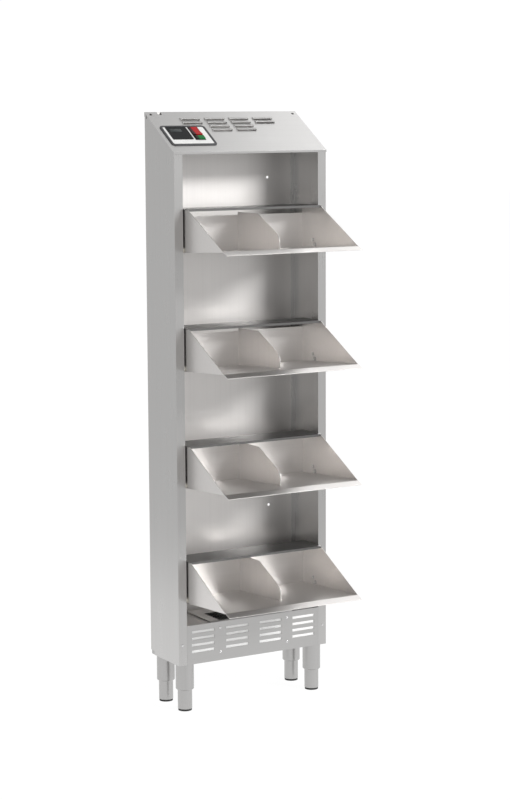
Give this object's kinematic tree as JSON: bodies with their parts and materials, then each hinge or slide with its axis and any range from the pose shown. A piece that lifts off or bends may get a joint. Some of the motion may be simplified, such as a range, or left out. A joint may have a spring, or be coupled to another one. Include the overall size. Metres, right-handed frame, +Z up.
{
  "type": "footwear drying cabinet",
  "caption": "Shallow stainless cabinet on adjustable legs with tilt-out divided bins, a sloping louvred hood with a control panel and a heated blower in its slotted base.",
  "frame": {"origin": "on the floor, under the middle of the box round the whole cabinet with its bins open", "axes": "+Z up, -Y towards the open front, +X to the right seen from the front"},
  "size_m": [0.503, 0.4188, 1.724],
  "materials": {
    "casing_steel": "satin brushed stainless sheet",
    "back_steel": "bright brushed stainless sheet",
    "bin_steel": "brushed stainless sheet with bright hems",
    "leg_steel": "satin stainless tube",
    "inner_steel": "plain stainless sheet",
    "screw_steel": "polished screws and pins",
    "grey_rubber": "matt dark grey rubber",
    "pad_rubber": "black rubber pads",
    "white_plastic": "white panel plate",
    "display_black": "smoked display window",
    "black_plastic": "black moulded plastic",
    "red_plastic": "red rocker",
    "green_plastic": "green button",
    "circuit_board": "green circuit board",
    "nylon": "natural nylon",
    "filter_fleece": "white filter fleece",
    "aluminium": "plain aluminium",
    "motor_metal": "dark enamelled motor body"
  },
  "bodies": {
    "cabinet": {"side_panel_left": "casing_steel", "side_panel_right": "casing_steel", "back_panel": "back_steel", "hood_panel": "casing_steel", "control_gasket": "grey_rubber", "control_plate": "white_plastic", "display_window": "display_black", "display_board": "circuit_board", "rocker_bezel": "black_plastic", "button_bezel": "black_plastic", "control_housing": "inner_steel", "terminal_block": "nylon", "cable_gland": "black_plastic", "wiring_conduit": "inner_steel", "fascia_panel": "casing_steel", "casing_screws": "screw_steel", "filter_mat": "filter_fleece", "filter_frame": "inner_steel", "leg_rail_left": "inner_steel", "leg_rail_right": "inner_steel", "deck_plate": "inner_steel", "blower_housing": "inner_steel", "outlet_guard": "black_plastic", "blower_motor": "motor_metal", "shaft_bearing": "motor_metal", "heater_element": "aluminium", "thermostat": "black_plastic", "pivot_bolts": "screw_steel", "pivot_spacers": "nylon", "leg_sleeve_1": "leg_steel", "leg_sleeve_2": "leg_steel", "leg_sleeve_3": "leg_steel", "leg_sleeve_4": "leg_steel"},
    "rocker": {"power_rocker": "red_plastic"},
    "button": {"start_button": "green_plastic"},
    "impeller": {"blower_impeller": "aluminium"},
    "bin_1": {"bin_shell_1": "bin_steel", "bin_cover_1": "bin_steel", "bin_divider_1": "bin_steel", "stop_pins_1": "screw_steel"},
    "foot_1": {"foot_tube_1": "leg_steel", "foot_pad_1": "pad_rubber"},
    "bin_2": {"bin_shell_2": "bin_steel", "bin_cover_2": "bin_steel", "bin_divider_2": "bin_steel", "stop_pins_2": "screw_steel"},
    "foot_2": {"foot_tube_2": "leg_steel", "foot_pad_2": "pad_rubber"},
    "bin_3": {"bin_shell_3": "bin_steel", "bin_cover_3": "bin_steel", "bin_divider_3": "bin_steel", "stop_pins_3": "screw_steel"},
    "foot_3": {"foot_tube_3": "leg_steel", "foot_pad_3": "pad_rubber"},
    "bin_4": {"bin_shell_4": "bin_steel", "bin_cover_4": "bin_steel", "bin_divider_4": "bin_steel", "stop_pins_4": "screw_steel"},
    "foot_4": {"foot_tube_4": "leg_steel", "foot_pad_4": "pad_rubber"}
  },
  "joints": [
    {"name": "bin_1_tilt", "type": "hinge", "parent": "cabinet", "child": "bin_1", "pos_m": [0, 0.04339, 0.3305], "axis": [-1, 0, 0], "range_deg": [0, 86]},
    {"name": "bin_2_tilt", "type": "hinge", "parent": "cabinet", "child": "bin_2", "pos_m": [0, 0.04339, 0.6665], "axis": [-1, 0, 0], "range_deg": [0, 86]},
    {"name": "bin_3_tilt", "type": "hinge", "parent": "cabinet", "child": "bin_3", "pos_m": [0, 0.04339, 1.0025], "axis": [-1, 0, 0], "range_deg": [0, 86]},
    {"name": "bin_4_tilt", "type": "hinge", "parent": "cabinet", "child": "bin_4", "pos_m": [0, 0.04339, 1.3385], "axis": [-1, 0, 0], "range_deg": [0, 86]},
    {"name": "foot_1_height", "type": "slide", "parent": "cabinet", "child": "foot_1", "axis": [0, 0, 1], "range_m": [-0.03, 0.015]},
    {"name": "foot_2_height", "type": "slide", "parent": "cabinet", "child": "foot_2", "axis": [0, 0, 1], "range_m": [-0.03, 0.015]},
    {"name": "foot_3_height", "type": "slide", "parent": "cabinet", "child": "foot_3", "axis": [0, 0, 1], "range_m": [-0.03, 0.015]},
    {"name": "foot_4_height", "type": "slide", "parent": "cabinet", "child": "foot_4", "axis": [0, 0, 1], "range_m": [-0.03, 0.015]},
    {"name": "rocker_tilt", "type": "hinge", "parent": "cabinet", "child": "rocker", "pos_m": [-0.1365, 0.1195, 1.66667], "axis": [1, 0, 0], "range_deg": [0, 10]},
    {"name": "button_press", "type": "slide", "parent": "cabinet", "child": "button", "axis": [0, 0.5356, -0.8445], "range_m": [0, 0.0015], "stiffness_N_per_m": 900, "springref_m": -0.001},
    {"name": "impeller_spin", "type": "hinge", "parent": "cabinet", "child": "impeller", "pos_m": [0, 0.09839, 0.194], "axis": [1, 0, 0], "continuous": true}
  ]
}
